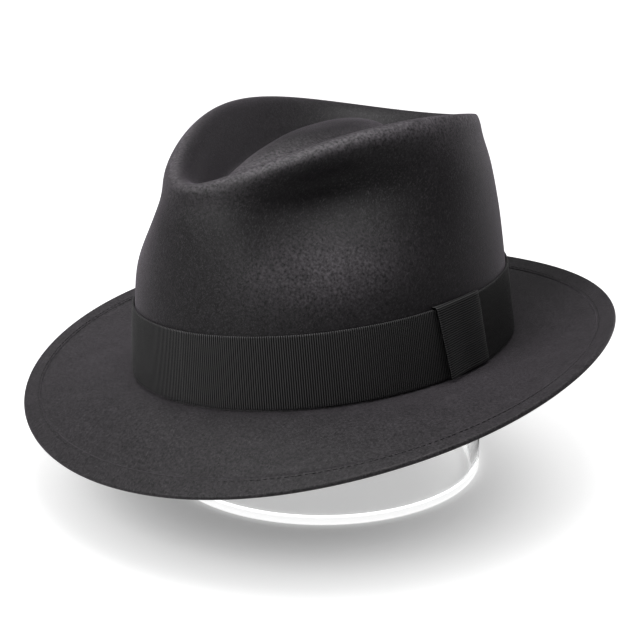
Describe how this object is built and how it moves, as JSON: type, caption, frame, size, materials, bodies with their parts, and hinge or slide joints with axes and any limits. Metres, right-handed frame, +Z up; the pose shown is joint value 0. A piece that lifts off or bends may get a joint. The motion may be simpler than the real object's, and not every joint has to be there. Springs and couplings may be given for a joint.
{
  "type": "felt fedora hat on a clear tube stand",
  "caption": "Dark felt fedora with a teardrop crease, pinched crown, snapped brim with turned edge, ribbed ribbon band and wrapped tab, resting on a plain clear tube stand.",
  "frame": {"origin": "on the floor under the middle of the object's bounding box", "axes": "+Z up, -Y towards the front of the hat, +X towards the wearer's left"},
  "size_m": [0.2842, 0.29, 0.1787],
  "materials": {
    "felt": "fine napped fur felt, matt",
    "ribbon": "ribbed grosgrain, soft sheen",
    "clear_plastic": "clear polished acrylic"
  },
  "bodies": {
    "root": {"felt_body": "felt", "ribbon_band": "ribbon", "ribbon_tab": "ribbon", "stand_tube": "clear_plastic"}
  },
  "joints": []
}
